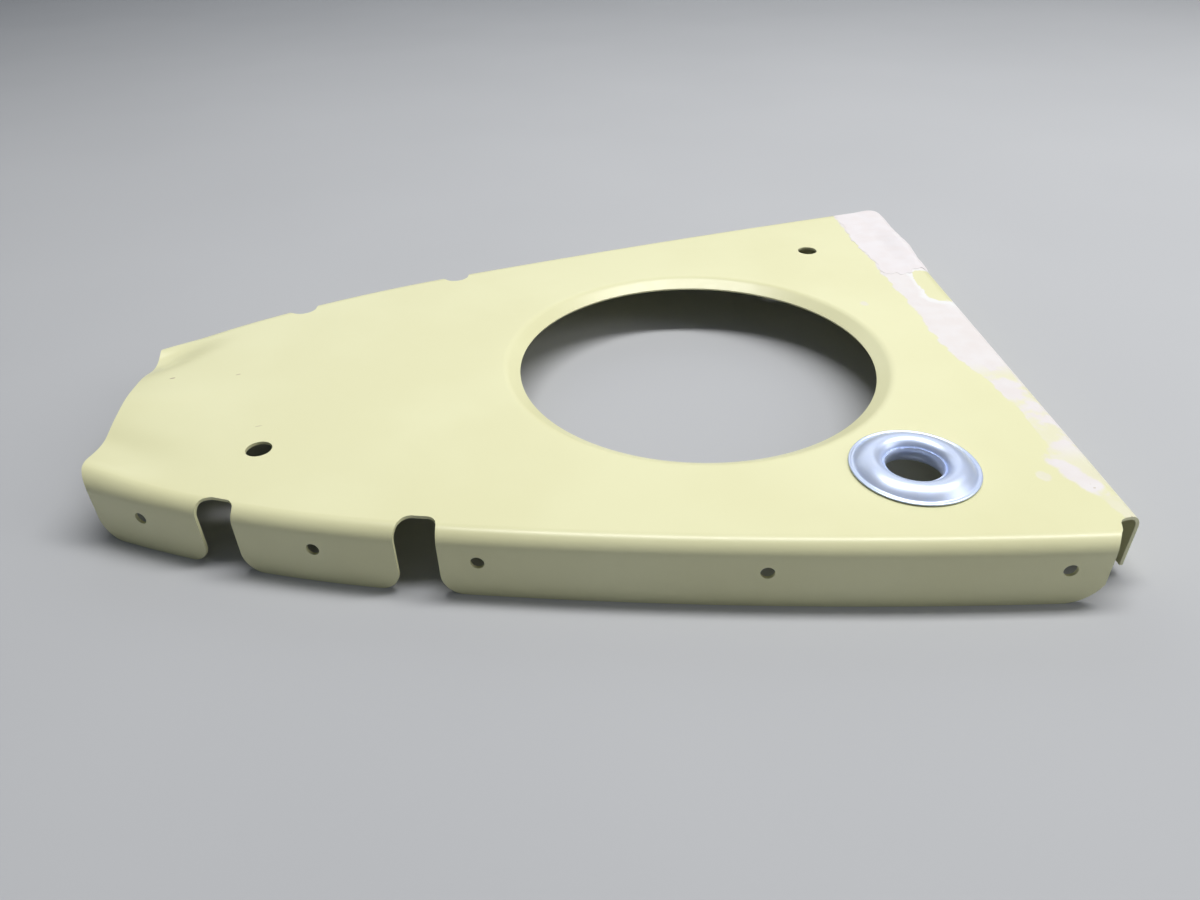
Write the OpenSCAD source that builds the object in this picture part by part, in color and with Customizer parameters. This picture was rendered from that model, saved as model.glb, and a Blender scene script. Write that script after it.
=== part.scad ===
// Nose rib of a light aircraft wing, pressed from one sheet of light alloy.
// The web lies flat and its edges are bent down: a spar flange at the rear and a tabbed skin flange on
// each side. The lightening hole has a rolled lip, and a two-piece eyelet is set in the web.
// X runs from the nose to the spar, Y from the lower skin to the upper skin and Z up to the web.
// The origin is under the middle of the rib, on the plane of the flanges' free edges.

/* [Sheet] */
// Thickness of the sheet
sheet_t = 0.6; // [0.4:0.05:1]
// Outside radius of the flange bends
bend_r = 3; // [2:0.25:4]
// Height of the skin flanges, from their free edge to the top of the web
flange_h = 13.5; // [11:0.5:20]
// How far the spar flange's free edge stays above those of the skin flanges
spar_flange_rise = 2.5; // [0.5:0.25:4]

/* [Outline] */
// Depth at the spar face, over both skin flanges
spar_depth = 159.4; // [150:0.2:175]
// Chordwise length of the lower edge, from the spar face to the nose corner
lower_len = 188.6; // [180:0.2:200]
// Chordwise length of the upper edge, from the spar face to the nose corner
upper_len = 192.7; // [185:0.1:205]

/* [Lower skin edge] */
// Slope of the edge at the spar, in degrees
lower_rake = 0; // [0:0.5:3]
// Radius of the edge from the spar to the rear slot
lower_sweep_r = 785; // [700:5:1200]
// Radius of the edge from there to the nose
lower_nose_r = 250; // [220:2:400]
// Distance along the edge from the spar face to the rear slot
lower_rear_slot = 123.7; // [115:0.1:132]
// Distance along the edge from the front slot to the nose
lower_nose_tab = 29.8; // [24:0.2:36]

/* [Upper skin edge] */
// Slope of the edge at the spar, in degrees
upper_rake = 15; // [12:0.5:17]
// Radius of the edge from the spar to the rear slot
upper_sweep_r = 1590; // [1300:10:2400]
// Radius of the edge from there to the nose
upper_nose_r = 225; // [210:1:340]
// Distance along the edge from the spar face to the rear slot
upper_rear_slot = 134.5; // [125:0.5:142]
// Distance along the edge from the front slot to the nose
upper_nose_tab = 33.7; // [26:0.1:40]

/* [Flange tabs] */
// Width of the slots between the tabs
slot_w = 6.6; // [5:0.2:8]
// How far a rear slot runs past the bend into the web
rear_slot_past_bend = 1.6; // [0.2:0.1:3]
// How far a front slot runs past the bend into the web
front_slot_past_bend = 0.2; // [0.1:0.1:3]
// Corner radius at the closed end of a slot
slot_r = 2; // [1:0.1:2.4]
// Corner radius of the tabs beside the slots
tab_corner_r = 4; // [2:0.25:6]
// Corner radius of the tabs at the spar
rear_corner_r = 8; // [4:0.25:9]
// How far that corner's arc runs past the end of the flange
rear_corner_past_end = 0.6; // [0.2:0.1:1.5]
// Corner radius of the tabs at the nose
nose_corner_r = 4.5; // [2:0.25:6]

/* [Spar corner relief] */
// How far the relief runs past the spar bend into the web
relief_past_spar_bend = 2.6; // [1:0.1:5]
// How far the relief runs past the skin bend along the spar
relief_past_skin_bend = 2.7; // [1:0.1:6]
// Radius in the corner of the relief
relief_r = 2.2; // [0.5:0.1:3]

/* [Rivet holes] */
// Diameter of the pilot holes for the skin rivets
rivet_d = 2.5; // [2:0.1:4]
// Depth of the rivet line below the top of the web
rivet_drop = 6.3; // [5:0.1:8]
// Distance from the spar face to the first hole
rivet_start = 13.5; // [10:0.5:20]
// Spacing of the holes along the long tabs
rivet_pitch = 50; // [30:0.5:60]
// Least distance from a hole to the end of a long tab
rivet_end = 4; // [3:0.5:10]

/* [Lightening hole] */
// Clear diameter inside the lip
light_d = 79.2; // [60:0.2:82]
// Distance of the centre from the spar face
light_from_spar = 68; // [66:0.5:76]
// Distance of the centre from the lower edge at the spar
light_from_lower = 68.8; // [66.8:0.2:76]
// Outside radius of the rolled lip
lip_r = 5; // [2:0.25:6]
// Angle that the lip is turned through, in degrees
lip_angle = 55; // [30:1:85]

/* [Tooling holes] */
// Diameter of the tooling holes
tool_d = 4.8; // [3:0.1:6.4]
// Distance of the nose hole from the spar face
nose_tool_from_spar = 157; // [145:0.5:165]
// Distance of the nose hole from the lower edge at the spar
nose_tool_from_lower = 37.2; // [34:0.2:44]
// Distance of the rear hole from the spar face
rear_tool_from_spar = 29.6; // [20:0.2:36]
// Distance of the rear hole from the lower edge at the spar
rear_tool_from_lower = 126.2; // [115:0.2:130]

/* [Grommet] */
// Outside diameter of the washer
washer_d = 23.8; // [20:0.2:27]
// Height of the washer's crown above the web
crown_h = 2; // [1.4:0.1:3]
// Width of the washer's flat rim
rim_w = 1.2; // [0.6:0.1:2]
// Width of the bead on the edge of the rim
bead_w = 0.6; // [0.2:0.1:1]
// Height of that bead above the rim
bead_h = 0.12; // [0.05:0.01:0.3]
// Thickness of the washer and of the eyelet
grommet_t = 0.45; // [0.3:0.05:0.7]
// Bore of the eyelet
bore_d = 10.6; // [9:0.2:12.4]
// Outside diameter of the eyelet's flange under the web
eyelet_d = 20; // [18:0.2:23]
// Inside radius of the flare at the top of the barrel
flare_r = 0.4; // [0.3:0.05:0.8]
// Angle that the flare is turned through, in degrees
flare_angle = 65; // [45:1:85]
// Distance of the grommet from the spar face
grommet_from_spar = 33.7; // [28:0.1:36]
// Distance of the grommet from the lower edge at the spar
grommet_from_lower = 22.8; // [18:0.1:24]
// Gap round the barrel in the web's hole
barrel_clear = 0.2; // [0.05:0.05:0.5]
// Gap between the washer and the barrel and its flare
set_gap = 0.08; // [0.02:0.01:0.2]

/* [Hidden] */

// Facets in a whole turn of the holes and corners, of rolled sections and of the long contour radii
$fn = 48;
section_fn = 24;
contour_fn = 480;
// How far a cutter runs past the surface that it cuts
over = 1;

// A skin edge sweeps on a long radius from the spar to its rear slot, and on a shorter one to the nose.
// In its own frame the spar corner is the origin, -X leads to the nose and +Y into the rib.
RAKE = 0;
SWEEP_R = 1;
NOSE_R = 2;
LENGTH = 3;
REAR_SLOT = 4;
NOSE_TAB = 5;
lower_edge = [lower_rake, lower_sweep_r, lower_nose_r, lower_len, lower_rear_slot, lower_nose_tab];
upper_edge = [upper_rake, upper_sweep_r, upper_nose_r, upper_len, upper_rear_slot, upper_nose_tab];

relief_x = bend_r + relief_past_spar_bend;
relief_y = bend_r + relief_past_skin_bend;

// The rib is widest where the skin flanges end at the spar, and the origin is midway between those ends
rib_len = max(lower_len, upper_len);
spar_x = rib_len / 2;
lower_y = (edge_point(upper_edge, relief_station(upper_edge))[1]
           - edge_point(lower_edge, relief_station(lower_edge))[1] - spar_depth) / 2;
upper_y = lower_y + spar_depth;
// Reach of the plan cutters, larger than the rib in any direction
reach = rib_len + spar_depth;
// How far the skin flanges run on past the nose before they are cut off
nose_run = 2 * bend_r;

// Radius at which the flat web turns into the lip of the lightening hole
lip_start_r = light_d / 2 + lip_r * sin(lip_angle);
light_at = [spar_x - light_from_spar, lower_y + light_from_lower];
nose_tool_at = [spar_x - nose_tool_from_spar, lower_y + nose_tool_from_lower];
rear_tool_at = [spar_x - rear_tool_from_spar, lower_y + rear_tool_from_lower];
grommet_at = [spar_x - grommet_from_spar, lower_y + grommet_from_lower];

// The barrel passes through the web, and the washer's crown arches from the barrel to the rim
bore_r = bore_d / 2;
barrel_r = bore_r + grommet_t;
crown_in_r = barrel_r + set_gap;
crown_out_r = washer_d / 2 - rim_w;
crown_mid_r = (crown_in_r + crown_out_r) / 2;
crown_half = (crown_out_r - crown_in_r) / 2;
crown_r = (crown_half * crown_half + crown_h * crown_h) / (2 * crown_h);
// The flare's tip lies on the inner slope of the crown
flare_tip_r = barrel_r + flare_r - flare_r * cos(flare_angle);
flare_tip_z = crown_top(flare_tip_r) + set_gap;
flare_z = flare_tip_z - flare_r * sin(flare_angle);
// The eyelet's flange is a half-round roll under the web
roll_r = (eyelet_d / 2 - bore_r) / 2;

// Height of the crown's upper surface above the web at a radius
function crown_top(r) = crown_h - crown_r + sqrt(crown_r * crown_r - pow(r - crown_mid_r, 2));

// Angle in degrees of an arc of a given length, and the length of an arc of a given angle
function arc_angle(length, radius) = length / radius * 180 / PI;
function arc_length(angle, radius) = angle * PI / 180 * radius;

// Unit vector into the rib where an edge has turned by an angle
function inward(turn) = [sin(turn), cos(turn)];

// Turn of an edge where its two radii meet, at the nose, and at a distance along it from the spar
function sweep_turn(edge) = edge[RAKE] + arc_angle(edge[REAR_SLOT], edge[SWEEP_R]);
function nose_turn(edge) = asin((nose_centre(edge)[0] + edge[LENGTH]) / edge[NOSE_R]);
function turn_at(edge, s) = s < edge[REAR_SLOT]
    ? edge[RAKE] + arc_angle(s, edge[SWEEP_R])
    : sweep_turn(edge) + arc_angle(s - edge[REAR_SLOT], edge[NOSE_R]);

// Centres of the two radii, which lie on one line through the point where they meet
function sweep_centre(edge) = edge[SWEEP_R] * inward(edge[RAKE]);
function nose_centre(edge) = sweep_centre(edge) + (edge[NOSE_R] - edge[SWEEP_R]) * inward(sweep_turn(edge));

// Point on an edge's outer face at a distance along it from the spar, and the distance to the nose
function edge_point(edge, s) = s < edge[REAR_SLOT]
    ? sweep_centre(edge) - edge[SWEEP_R] * inward(turn_at(edge, s))
    : nose_centre(edge) - edge[NOSE_R] * inward(turn_at(edge, s));
function nose_station(edge) = edge[REAR_SLOT] + arc_length(nose_turn(edge) - sweep_turn(edge), edge[NOSE_R]);

// Distance along an edge from the spar face to the end of its flange at the relief
function relief_turn(edge) = asin((sweep_centre(edge)[0] + relief_x) / edge[SWEEP_R]);
function relief_station(edge) = arc_length(relief_turn(edge) - edge[RAKE], edge[SWEEP_R]);

// Places children in a skin edge's own frame
module on_lower() {
    translate([spar_x, lower_y, 0]) children();
}

module on_upper() {
    translate([spar_x, upper_y, 0]) mirror([0, 1, 0]) children();
}

// Places children on an edge's outer face, with X along it towards the spar and Y into the rib
module at_edge(edge, s) {
    translate(edge_point(edge, s)) rotate([0, 0, -turn_at(edge, s)]) children();
}

module quarter_disc(r) {
    intersection() {
        circle(r);
        square(r);
    }
}

// Section of a rolled sheet: part of a ring between two angles, up to a right angle apart
module ring_sector(outer_r, thickness, from, to) {
    intersection() {
        difference() {
            circle(outer_r);
            circle(outer_r - thickness);
        }
        polygon([[0, 0], for (a = [from, (from + to) / 2, to]) 2 * outer_r * [cos(a), sin(a)]]);
    }
}

// Section of a flange: a rounded bend and a straight wall with its outer face at x = face
module flange_section(face, height) {
    translate([face - bend_r, flange_h - bend_r]) ring_sector(bend_r, sheet_t, 0, 90);
    translate([face - sheet_t, flange_h - height]) square([sheet_t, height - bend_r]);
}

// A skin flange in two pieces, which end inside the rear slot and run on past the nose
module skin_flange(edge) {
    translate(sweep_centre(edge))
        flange_arc(edge[SWEEP_R], edge[RAKE], turn_at(edge, edge[REAR_SLOT] - slot_w / 4));
    translate(nose_centre(edge))
        flange_arc(edge[NOSE_R], turn_at(edge, edge[REAR_SLOT] + slot_w / 4),
                   nose_turn(edge) + arc_angle(nose_run, edge[NOSE_R]));
}

// A flange along an arc, between two turns of its edge
module flange_arc(radius, from_turn, to_turn) {
    rotate_extrude(angle = to_turn - from_turn, start = -90 - to_turn, $fn = contour_fn)
        flange_section(radius, flange_h, $fn = section_fn);
}

// The spar flange runs between the reliefs at its two corners
module spar_flange() {
    translate([0, upper_y - relief_y, 0])
        rotate([90, 0, 0])
            linear_extrude(spar_depth - 2 * relief_y)
                flange_section(spar_x, flange_h - spar_flange_rise, $fn = section_fn);
}

// Plan of everything inside the start of an edge's bend
module inside_edge(edge) {
    intersection() {
        translate(sweep_centre(edge)) circle(edge[SWEEP_R] - bend_r, $fn = contour_fn);
        at_edge(edge, edge[REAR_SLOT]) square(reach);
    }
    intersection() {
        translate(nose_centre(edge)) circle(edge[NOSE_R] - bend_r, $fn = contour_fn);
        at_edge(edge, edge[REAR_SLOT]) translate([-reach, 0]) square(reach);
    }
}

module web() {
    translate([0, 0, flange_h - sheet_t])
        linear_extrude(sheet_t)
            difference() {
                intersection() {
                    on_lower() inside_edge(lower_edge);
                    on_upper() inside_edge(upper_edge);
                    translate([spar_x - bend_r - reach, -reach / 2]) square(reach);
                }
                translate(light_at) circle(lip_start_r);
            }
}

// The lip of the lightening hole, rolled down from the web
module hole_lip() {
    translate([light_at[0], light_at[1], flange_h - lip_r])
        rotate_extrude()
            translate([lip_start_r, 0]) ring_sector(lip_r, sheet_t, 90, 90 + lip_angle, $fn = section_fn);
}

// Plan of a slot between tabs, rounded at its closed end
module slot_plan(depth) {
    half = slot_w / 2;
    shoulder = depth - slot_r;
    translate([-half, -over]) square([slot_w, over + shoulder]);
    translate([slot_r - half, shoulder]) square([slot_w - 2 * slot_r, slot_r]);
    for (side = [0, 1])
        mirror([side, 0]) translate([half - slot_r, shoulder]) quarter_disc(slot_r);
}

// Rounds off the lower corner of a tab that lies on the +X side of the origin.
// The arc runs past the tab's end by a distance, or is tangent to it.
module corner_cut(r, past_end = 0) {
    side = over + r - past_end;
    rotate([90, 0, 0])
        linear_extrude(2 * (sheet_t + over), center = true)
            difference() {
                translate([-over, -over]) square([side, over + r]);
                translate([r - past_end, r]) circle(r);
            }
}

module tab_slot(past_bend) {
    translate([0, 0, -over]) linear_extrude(flange_h + 2 * over) slot_plan(bend_r + past_bend);
    for (side = [0, 1])
        mirror([side, 0, 0]) translate([slot_w / 2, 0, 0]) corner_cut(tab_corner_r);
}

module rivet_hole() {
    translate([0, 0, flange_h - rivet_drop])
        rotate([90, 0, 0]) cylinder(d = rivet_d, h = 2 * (sheet_t + over), center = true);
}

// Relief that keeps a skin flange and the spar flange apart at the corner
module corner_relief() {
    translate([0, 0, -over])
        linear_extrude(flange_h + 2 * over) {
            translate([-relief_x, -reach]) square([relief_x + over, reach + relief_y - relief_r]);
            translate([relief_r - relief_x, relief_y - relief_r]) square([relief_x + over - relief_r, relief_r]);
            translate([relief_r - relief_x, relief_y - relief_r]) mirror([1, 0]) quarter_disc(relief_r);
        }
}

// Slots, rivet holes and rounded corners of one skin flange, and its relief at the spar
module edge_cuts(edge) {
    rear_slot = edge[REAR_SLOT];
    nose = nose_station(edge);
    front_slot = nose - edge[NOSE_TAB];
    long_tab_end = rear_slot - slot_w / 2 - rivet_end;
    at_edge(edge, rear_slot) tab_slot(rear_slot_past_bend);
    at_edge(edge, front_slot) tab_slot(front_slot_past_bend);
    for (s = [rivet_start : rivet_pitch : long_tab_end])
        at_edge(edge, s) rivet_hole();
    at_edge(edge, (rear_slot + front_slot) / 2) rivet_hole();
    at_edge(edge, (front_slot + slot_w / 2 + nose) / 2) rivet_hole();
    at_edge(edge, relief_station(edge)) mirror([1, 0, 0]) corner_cut(rear_corner_r, rear_corner_past_end);
    at_edge(edge, nose) corner_cut(nose_corner_r);
    corner_relief();
}

// Everything forward of the straight cut from nose corner to nose corner
module nose_cut() {
    low = [spar_x, lower_y] + edge_point(lower_edge, nose_station(lower_edge));
    up_own = edge_point(upper_edge, nose_station(upper_edge));
    up = [spar_x + up_own[0], upper_y - up_own[1]];
    along = (up - low) / norm(up - low);
    low_end = low - reach / 2 * along;
    up_end = up + reach / 2 * along;
    translate([0, 0, -over])
        linear_extrude(flange_h + 2 * over)
            polygon([low_end, up_end, up_end - [reach, 0], low_end - [reach, 0]]);
}

module web_hole(at, d) {
    translate([at[0], at[1], flange_h - sheet_t - over]) cylinder(d = d, h = sheet_t + 2 * over);
}

module rib_sheet() {
    color([0.93, 0.91, 0.68])
        union() {
            difference() {
                union() {
                    web();
                    hole_lip();
                    on_lower() skin_flange(lower_edge);
                    on_upper() skin_flange(upper_edge);
                }
                on_lower() edge_cuts(lower_edge);
                on_upper() edge_cuts(upper_edge);
                nose_cut();
                web_hole(nose_tool_at, tool_d);
                web_hole(rear_tool_at, tool_d);
                web_hole(grommet_at, 2 * (barrel_r + barrel_clear));
            }
            spar_flange();
        }
}

module at_grommet() {
    translate([grommet_at[0], grommet_at[1], flange_h]) children();
}

// Washer on top of the web: an arched crown with a flat, beaded rim
module grommet_washer() {
    color([0.86, 0.88, 0.93])
        at_grommet()
            rotate_extrude() {
                intersection() {
                    translate([crown_mid_r, crown_h - crown_r])
                        difference() {
                            circle(crown_r, $fn = section_fn);
                            circle(crown_r - grommet_t, $fn = section_fn);
                        }
                    square([washer_d / 2, crown_h + over]);
                }
                translate([crown_out_r - grommet_t / 2, 0]) square([rim_w + grommet_t / 2, grommet_t]);
                translate([washer_d / 2 - bead_w, 0]) square([bead_w, grommet_t + bead_h]);
            }
}

// Eyelet from below: a rolled flange, a barrel through the web and a flare set over the washer
module grommet_eyelet() {
    color([0.80, 0.82, 0.88])
        at_grommet()
            rotate_extrude() {
                translate([bore_r + roll_r, -sheet_t])
                    intersection() {
                        difference() {
                            circle(roll_r, $fn = section_fn);
                            circle(roll_r - grommet_t, $fn = section_fn);
                        }
                        translate([-2 * roll_r, -2 * roll_r]) square([4 * roll_r, 2 * roll_r]);
                    }
                translate([bore_r, -sheet_t]) square([grommet_t, sheet_t + flare_z]);
                translate([barrel_r + flare_r, flare_z])
                    ring_sector(flare_r + grommet_t, grommet_t, 180 - flare_angle, 180, $fn = section_fn);
            }
}

rib_sheet();
grommet_washer();
grommet_eyelet();
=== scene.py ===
import math
import bpy
import numpy as np
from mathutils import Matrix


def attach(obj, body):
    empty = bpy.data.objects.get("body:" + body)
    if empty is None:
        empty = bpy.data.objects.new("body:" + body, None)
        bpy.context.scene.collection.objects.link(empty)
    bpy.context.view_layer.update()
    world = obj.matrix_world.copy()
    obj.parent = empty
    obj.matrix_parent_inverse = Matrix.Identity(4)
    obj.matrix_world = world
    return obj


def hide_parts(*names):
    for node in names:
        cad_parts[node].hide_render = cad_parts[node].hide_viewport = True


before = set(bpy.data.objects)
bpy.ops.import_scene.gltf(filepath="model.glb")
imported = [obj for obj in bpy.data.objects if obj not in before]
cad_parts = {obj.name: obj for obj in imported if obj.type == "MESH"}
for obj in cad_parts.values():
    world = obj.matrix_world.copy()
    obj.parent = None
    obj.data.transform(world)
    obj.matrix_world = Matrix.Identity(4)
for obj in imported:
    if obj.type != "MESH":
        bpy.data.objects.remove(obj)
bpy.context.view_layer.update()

# Rib sheet
# A nose rib pressed from one sheet of light alloy over a form block, then sprayed with pale primer.
# Its edges are bent down into a spar flange and two tabbed skin flanges, and a die has rolled the lip
# of its lightening hole. The free nose edge has sprung into shallow waves between the two flanges.

MM = 0.001
SHEET_T = 0.6
BEND_R = 3.0
WEB_Z = 13.5
SPAR_X = 96.35
SPAR_FREE_Z = 1.9
# The two skin edges in their own frames, with distances along the edge from the spar face
LOWER_EDGE = {
    "corner_y": -78.954, "side": 1.0, "rake": 0.0, "sweep_r": 785.0, "nose_r": 250.0,
    "sweep": 123.7, "nose": 192.274, "nose_lean": 1.3, "relief": (5.2, 6.1), "rear_lean": 2.1,
    "rear_corner_r": 7.0, "rear_slot": 124.0, "front_slot": 162.2, "slot_depths": (4.6, 3.2),
    "slot_r": 2.0, "rivets": (14.0, 64.0, 113.3, 143.2, 179.3),
}
UPPER_EDGE = {
    "corner_y": 80.446, "side": -1.0, "rake": math.radians(15.0), "sweep_r": 1590.0, "nose_r": 225.0,
    "sweep": 134.5, "nose": 208.688, "nose_lean": 0.0, "relief": (5.6, 5.7), "rear_lean": 0.0,
    "rear_corner_r": 8.0, "rear_slot": 133.6, "front_slot": 174.6, "slot_depths": (5.2, 5.0),
    "slot_r": 3.2, "rivets": (13.5, 63.5, 113.5, 154.7, 193.5),
}
NOSE_LOW = np.array([-92.25, -49.371])
NOSE_UP = np.array([-96.35, 4.05])
# Waves of the nose: height, the line that each follows, distance from it, half width, reach from the cut
NOSE_BELLS = (
    (0.75, "lower", 3.7, 2.8, 12.0),
    (-0.75, "lower", 11.8, 3.8, 13.0),
    (0.62, "cut", 28.0, 6.5, 15.0),
    (-1.95, "upper", 5.8, 5.0, 9.5),
    (1.25, "upper", 0.0, 1.9, 7.5),
)
WAVE_FOOT_Z = 4.0
WAVE_RISE = 8.0
SLOT_HALF = 3.3
SLOT_FLARE = 0.5
FLARE_POWER = 0.7
TAB_CORNER_R = 4.0
REAR_CORNER_PAST = 0.6
NOSE_CORNER_R = 4.5
RELIEF_R = 2.2
LEAN_AT_WEB = 0.22
LEAN_POWER = 0.8
SPAR_END_LEAN = 0.9
SPAR_LEAN_OVER = 8.0
LIGHT_AT = np.array([28.35, -10.154])
LIGHT_R = 39.6
LIP_R = 3.4
LIP_TURN = math.radians(32.0)
LIP_SLANT = 2.7
RIVET_R = 1.25
RIVET_Z = WEB_Z - 5.95
TOOL_HOLES = ((-60.65, -41.754), (66.75, 47.246))
TOOL_R = 2.55
GROMMET_AT = (62.55, -56.35)
GROMMET_HOLE_R = 5.95
LIP_CONE_ROWS = 5
LIP_ARC_ROWS = 7
WEB_ROWS = 34
WEB_CROWDING = 1.6
OUTLINE_POWER = 6
BEND_ROWS = 9
WALL_ROWS = 9
CORNER_COLUMNS = 9
COLUMN_STEP = 2.2
LEAST_COLUMNS = 8
SPAR_COLUMNS = 90
NOSE_COLUMNS = 70
SIDE_BLEND = 5.0
SQUARE_FROM = 5.0
SQUARE_OVER = 25.0
MEET_STEPS = 6
DRILL_SIDES = 48
WEB_DRILL = 8.0
FLANGE_DRILL = 4.0
SHARP_DEGREES = 32.0
BEND_TURN = np.linspace(0.0, np.pi / 2, BEND_ROWS)
BEND_INSET = BEND_R * (1.0 - np.sin(BEND_TURN))
BEND_Z = WEB_Z - BEND_R * (1.0 - np.cos(BEND_TURN))
WALL_SHARE = np.linspace(0.0, 1.0, WALL_ROWS + 1)[1:]


def smooth_step(t):
    """Cubic blend from 0 to 1: three times t squared less twice t cubed, with t held between 0 and 1."""
    t = np.clip(t, 0.0, 1.0)
    return t * t * (3.0 - 2.0 * t)


def inward(turn):
    """Unit vector into the rib where an edge has turned by an angle, in the edge's own frame."""
    return np.stack([np.sin(turn), np.cos(turn)], axis=-1)


def edge_turn(edge, s):
    """Turn of a skin edge at a distance s along it: s over the long radius, then over the nose's radius."""
    on_sweep = np.minimum(s, edge["sweep"]) / edge["sweep_r"]
    on_nose = np.maximum(s - edge["sweep"], 0.0) / edge["nose_r"]
    return edge["rake"] + on_sweep + on_nose


def arc_centres(edge):
    """Centres of an edge's long arc and nose arc in its own frame, on one line through the arcs' joint."""
    sweep_centre = edge["sweep_r"] * inward(np.array(edge["rake"]))
    joint = edge_turn(edge, np.array(edge["sweep"]))
    return sweep_centre, sweep_centre + (edge["nose_r"] - edge["sweep_r"]) * inward(joint)


def edge_own(edge, s, inset):
    """Point of an edge in its own frame: an arc's centre less its radius, cut by the inset, along inward."""
    s, inset = np.broadcast_arrays(np.asarray(s, float), np.asarray(inset, float))
    sweep_centre, nose_centre = arc_centres(edge)
    on_sweep = s < edge["sweep"]
    centre = np.where(on_sweep[..., None], sweep_centre, nose_centre)
    radius = np.where(on_sweep, edge["sweep_r"], edge["nose_r"]) - inset
    return centre - radius[..., None] * inward(edge_turn(edge, s))


def in_plan(edge, own):
    """Point of an edge's own frame in plan: set at the spar corner, and mirrored for the upper edge."""
    return np.stack([SPAR_X + own[..., 0], edge["corner_y"] + edge["side"] * own[..., 1]], axis=-1)


def edge_point(edge, s, inset):
    """Point of an edge in plan, at a distance along it and an inset from it."""
    return in_plan(edge, edge_own(edge, s, inset))


def slot_side(edge, centre, depth, side):
    """Distance along the edge to a slot's side at each row of the bend.

    It is half the slot's width, less the round at the closed end, plus a flare that grows down the bend.
    """
    radius = edge["slot_r"]
    rise = np.clip(BEND_INSET - (depth - radius), 0.0, radius)
    half = SLOT_HALF - radius + np.sqrt(radius ** 2 - rise ** 2)
    return centre + side * (half + SLOT_FLARE * np.sin(BEND_TURN) ** FLARE_POWER)


def relief_side(edge):
    """Distance along the edge to the spar relief at each row of the bend.

    The point is moved along the edge onto the relief's outline, and the end of the wall leans away from it.
    """
    wide, deep = edge["relief"]
    s = np.full(BEND_INSET.shape, wide)
    for _ in range(MEET_STEPS):
        own = edge_own(edge, s, BEND_INSET)
        rise = np.clip(own[..., 1] - (deep - RELIEF_R), 0.0, RELIEF_R)
        side_x = -(wide - RELIEF_R) - np.sqrt(RELIEF_R ** 2 - rise ** 2)
        s = s + (own[..., 0] - side_x) / np.cos(edge_turn(edge, s))
    lean = LEAN_AT_WEB + (1.0 - LEAN_AT_WEB) * np.sin(BEND_TURN) ** LEAN_POWER
    return s + edge["rear_lean"] * lean


def nose_side(edge):
    """Distance along the edge to the straight nose cut at each row of the bend.

    The point is moved along the edge onto that line, and the end of the wall leans back from it.
    """
    cut = NOSE_UP - NOSE_LOW
    ahead = np.array([-cut[1], cut[0]]) / np.linalg.norm(cut)
    s = np.full(BEND_INSET.shape, edge["nose"])
    for _ in range(MEET_STEPS):
        turn = edge_turn(edge, s)
        along = np.stack([-np.cos(turn), edge["side"] * np.sin(turn)], axis=-1)
        s = s - ((edge_point(edge, s, BEND_INSET) - NOSE_LOW) @ ahead) / (along @ ahead)
    return s - edge["nose_lean"] * smooth_step(BEND_TURN / (np.pi / 2))


def corner_height(distance, radius, past):
    """Height of a tab's free edge near its end: the arc of a rounded corner, which may run past the end."""
    short = np.clip(radius - past - distance, 0.0, radius)
    return radius - np.sqrt(radius ** 2 - short ** 2)


def flange_grid(bend_plan, bottom):
    """Bend and wall as a grid of points: a quarter turn at each column, then evenly down to the end."""
    bend_z = np.broadcast_to(BEND_Z[:, None, None], bend_plan.shape[:2] + (1,))
    bend = np.concatenate([bend_plan, bend_z], axis=2)
    wall = np.repeat(bend[-1:], WALL_ROWS, axis=0)
    wall[..., 2] = BEND_Z[-1] + WALL_SHARE[:, None] * (bottom - BEND_Z[-1])
    return np.concatenate([bend, wall])


def skin_tab(edge, start, end, start_r, end_r, start_past):
    """One tab of a skin flange, from a start to an end given for each row of the bend.

    Columns are even along the edge and closer round the lower corners. The rows of the bend are moved
    along the edge near the two ends, so that they meet the slots, the relief and the nose cut.
    """
    length = end[-1] - start[-1]
    quarter = 1.0 - np.cos(np.linspace(0.0, np.pi / 2, CORNER_COLUMNS))
    middle = np.linspace(start_r, length - end_r, max(int(length / COLUMN_STEP), LEAST_COLUMNS))
    along = np.unique(np.concatenate([start_r * quarter, middle, length - end_r * quarter]).round(5))
    by_start = 1.0 - smooth_step(along / SIDE_BLEND)
    by_end = 1.0 - smooth_step((length - along) / SIDE_BLEND)
    s = start[-1] + along + np.outer(start - start[-1], by_start) + np.outer(end - end[-1], by_end)
    start_corner = corner_height(along, start_r, start_past)
    end_corner = corner_height(length - along, end_r, 0.0)
    bend_plan = edge_point(edge, s, BEND_INSET[:, None])
    return flange_grid(bend_plan, np.maximum(start_corner, end_corner)), s[0]


def slot_outline(edge, centre, depth):
    """Closed end of a slot in the web: a quarter arc at each side of a straight end."""
    radius = edge["slot_r"]
    shoulder = depth - radius
    turn = np.linspace(math.asin((BEND_R - shoulder) / radius), np.pi / 2, CORNER_COLUMNS)[1:]
    across = SLOT_HALF - radius + radius * np.cos(turn)
    inset = shoulder + radius * np.sin(turn)
    s = np.concatenate([centre - across, centre + across[::-1]])
    return edge_point(edge, s, np.concatenate([inset, inset[::-1]])), s


def relief_outline(edge, tab):
    """Relief in the web from a skin flange to the spar flange: the rest of its corner arc."""
    wide, deep = edge["relief"]
    low = deep - RELIEF_R
    from_y = (tab[0, 0, 1] - edge["corner_y"]) * edge["side"]
    first = math.asin(np.clip((from_y - low) / RELIEF_R, 0.0, 1.0))
    turn = np.linspace(first, np.pi / 2, CORNER_COLUMNS + 1)[1:-1]
    x = SPAR_X - (wide - RELIEF_R) - RELIEF_R * np.cos(turn)
    y = edge["corner_y"] + edge["side"] * (low + RELIEF_R * np.sin(turn))
    return np.stack([x, y], axis=1)[::-1], np.zeros(turn.size)


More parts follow.
